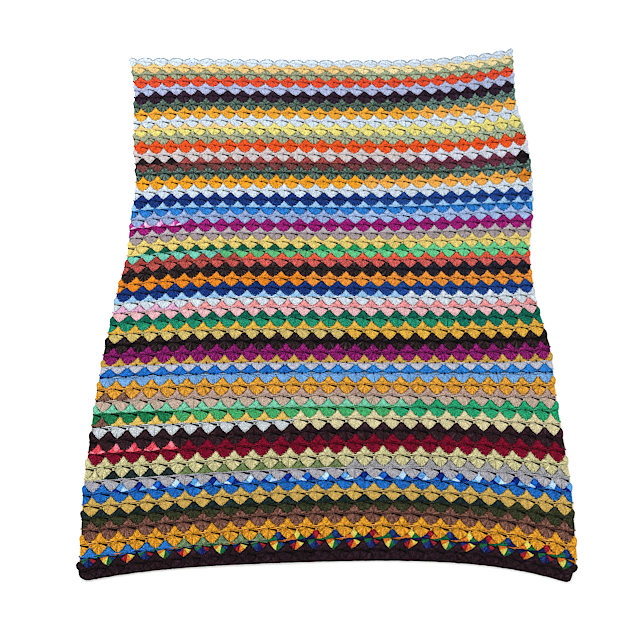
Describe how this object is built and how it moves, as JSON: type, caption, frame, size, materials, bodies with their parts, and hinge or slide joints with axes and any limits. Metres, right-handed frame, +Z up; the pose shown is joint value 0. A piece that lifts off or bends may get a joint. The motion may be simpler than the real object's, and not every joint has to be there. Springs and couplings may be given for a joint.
{
  "type": "crochet blanket",
  "caption": "Oblong crochet blanket in striped wheel stitch, laid flat, with one scalloped edge and three plain ones.",
  "frame": {"origin": "middle of the underside, on the surface the blanket lies on", "axes": "+Z up from the plain underside to the wheel side; +Y along the length, towards the scalloped edge; +X across the rows"},
  "size_m": [1.293, 1.6498, 0.0059],
  "materials": {
    "striped_yarn": "matt, slightly fuzzy acrylic and wool yarn in many colours"
  },
  "bodies": {
    "root": {"blanket": "striped_yarn"}
  },
  "joints": []
}
